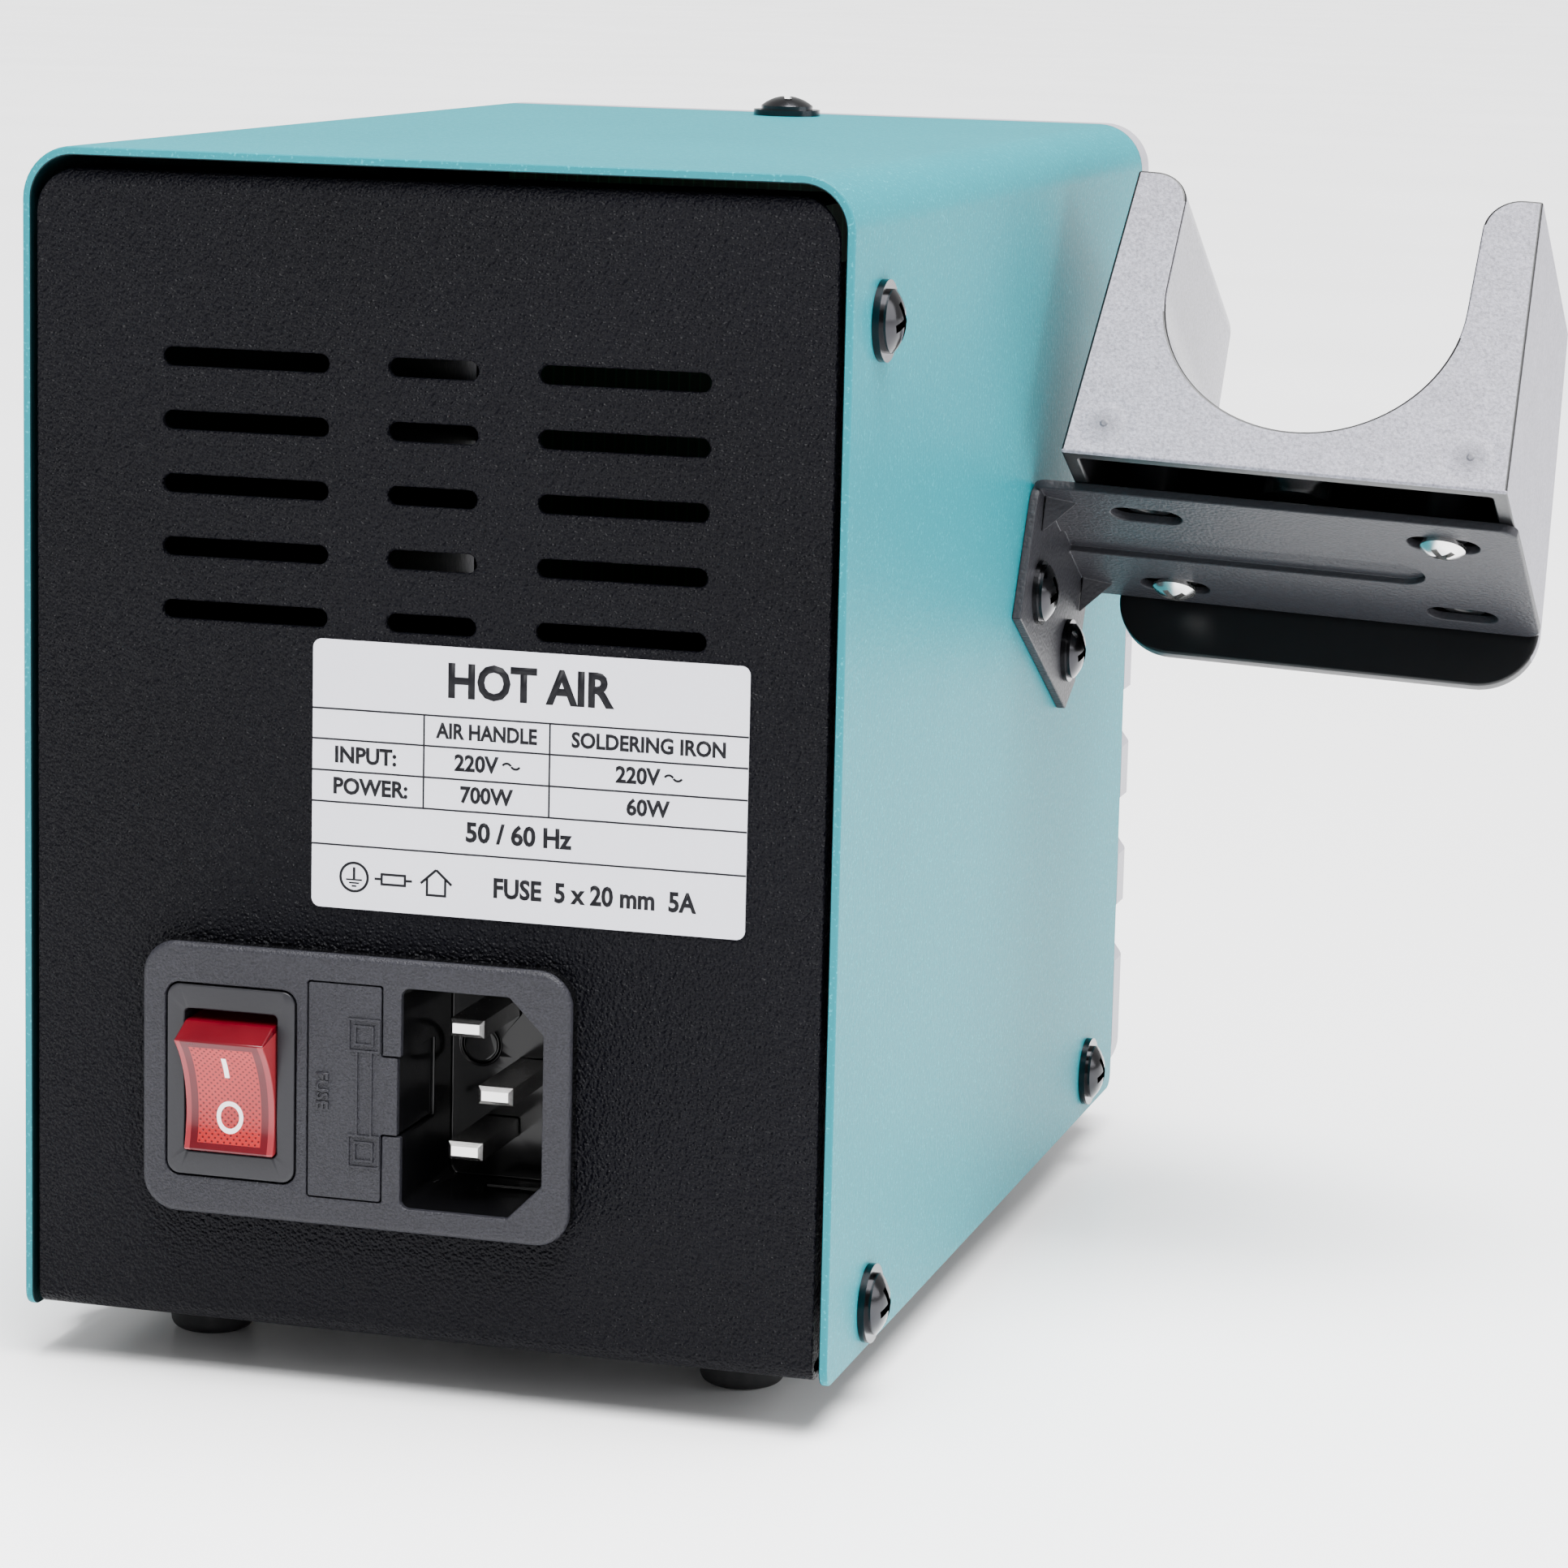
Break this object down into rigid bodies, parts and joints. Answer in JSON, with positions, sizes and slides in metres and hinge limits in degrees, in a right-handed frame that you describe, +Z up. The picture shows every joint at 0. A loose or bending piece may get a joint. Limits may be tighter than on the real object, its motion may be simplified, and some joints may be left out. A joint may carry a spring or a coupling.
{
  "type": "hot air station",
  "caption": "Boxy bench hot air and soldering station: steel case, rear mains inlet with rocker and fuse drawer, and a U-shaped handle holder on a side bracket.",
  "frame": {"origin": "middle of the whole object's footprint, on the table", "axes": "+Z up, -Y out of the front panel, +Y out of the rear panel, the handle holder on the -X side"},
  "size_m": [0.1578, 0.1728, 0.1408],
  "materials": {
    "teal_coat": "fine powder coat",
    "black_coat": "coarse textured powder coat",
    "label_film": "satin printed film",
    "rubber": "matt",
    "grey_plastic": "fine textured moulding",
    "panel_paint": "satin printed panel",
    "smoked_window": "polished",
    "display_red": "dark red lens",
    "board_green": "solder resist",
    "black_plastic": "fine textured moulding",
    "red_lens": "translucent moulding",
    "button_grey": "satin",
    "dark_nickel": "black nickel plate",
    "bright_steel": "bright zinc plate",
    "socket_chrome": "chrome plate",
    "brass_pin": "plated",
    "core_steel": "varnished laminations",
    "winding_tape": "polyester tape",
    "fuse_glass": "clear",
    "heatsink_aluminium": "extruded",
    "magnet_nickel": "nickel plate",
    "capacitor_sleeve": "shrink sleeve"
  },
  "bodies": {
    "station": {"air_switch_frame": "black_plastic", "airflow_pot": "black_plastic", "bezel_screws": "bright_steel", "bracket_nuts": "bright_steel", "bracket_screws": "dark_nickel", "bracket_washers": "dark_nickel", "capacitors": "capacitor_sleeve", "chassis": "black_coat", "control_board": "board_green", "control_board_posts": "bright_steel", "cover": "teal_coat", "cover_screws": "dark_nickel", "cover_washers": "dark_nickel", "cradle": "grey_plastic", "cradle_screws": "bright_steel", "display_air": "display_red", "display_iron": "display_red", "display_window": "smoked_window", "earth_bolt": "brass_pin", "earth_nuts": "brass_pin", "feet": "rubber", "foot_screws": "bright_steel", "front_bezel": "grey_plastic", "front_panel": "panel_paint", "gland_nut": "black_plastic", "handle_gland": "black_plastic", "heatsink": "heatsink_aluminium", "holder_bracket": "black_coat", "inlet_housing": "black_plastic", "inlet_pins": "bright_steel", "iron_socket": "socket_chrome", "iron_socket_nut": "socket_chrome", "iron_socket_pins": "brass_pin", "iron_switch_frame": "black_plastic", "main_board": "board_green", "main_board_posts": "brass_pin", "main_board_screws": "bright_steel", "pot_nut": "bright_steel", "power_switch_frame": "black_plastic", "rating_label": "label_film", "sleep_magnet": "magnet_nickel", "tact_switches": "black_plastic", "terminal_blocks": "black_plastic", "transformer_core": "core_steel", "transformer_screws": "bright_steel", "transformer_strap": "bright_steel", "transformer_winding": "winding_tape", "triac": "black_plastic"},
    "power_rocker": {"power_rocker": "red_lens"},
    "iron_rocker": {"iron_rocker": "red_lens"},
    "air_rocker": {"air_rocker": "red_lens"},
    "fuse_drawer": {"fuse_drawer": "black_plastic", "fuse_tubes": "fuse_glass", "fuse_caps": "bright_steel"},
    "airflow_knob": {"airflow_knob": "black_plastic", "pot_shaft": "heatsink_aluminium"},
    "button_iron_down": {"button_iron_down": "button_grey"},
    "button_iron_up": {"button_iron_up": "button_grey"},
    "button_air_down": {"button_air_down": "button_grey"},
    "button_air_up": {"button_air_up": "button_grey"}
  },
  "joints": [
    {"name": "power_rocker_tilt", "type": "hinge", "parent": "station", "child": "power_rocker", "pos_m": [0.05032, 0.07924, 0.03505], "axis": [1, 0, 0], "range_deg": [0, 26]},
    {"name": "iron_rocker_tilt", "type": "hinge", "parent": "station", "child": "iron_rocker", "pos_m": [-0.00118, -0.06986, 0.06], "axis": [-1, 0, 0], "range_deg": [0, 26]},
    {"name": "air_rocker_tilt", "type": "hinge", "parent": "station", "child": "air_rocker", "pos_m": [0.01882, -0.06986, 0.06], "axis": [-1, 0, 0], "range_deg": [0, 26]},
    {"name": "airflow_knob_turn", "type": "hinge", "parent": "station", "child": "airflow_knob", "pos_m": [0.05282, -0.07676, 0.06], "axis": [0, 1, 0], "range_deg": [-135, 135]},
    {"name": "fuse_drawer_slide", "type": "slide", "parent": "station", "child": "fuse_drawer", "axis": [0, 1, 0], "range_m": [0, 0.014]},
    {"name": "button_iron_down_press", "type": "slide", "parent": "station", "child": "button_iron_down", "axis": [0, 1, 0], "range_m": [0, 0.0006], "stiffness_N_per_m": 400, "springref_m": -0.0006},
    {"name": "button_iron_up_press", "type": "slide", "parent": "station", "child": "button_iron_up", "axis": [0, 1, 0], "range_m": [0, 0.0006], "stiffness_N_per_m": 400, "springref_m": -0.0006},
    {"name": "button_air_down_press", "type": "slide", "parent": "station", "child": "button_air_down", "axis": [0, 1, 0], "range_m": [0, 0.0006], "stiffness_N_per_m": 400, "springref_m": -0.0006},
    {"name": "button_air_up_press", "type": "slide", "parent": "station", "child": "button_air_up", "axis": [0, 1, 0], "range_m": [0, 0.0006], "stiffness_N_per_m": 400, "springref_m": -0.0006}
  ]
}
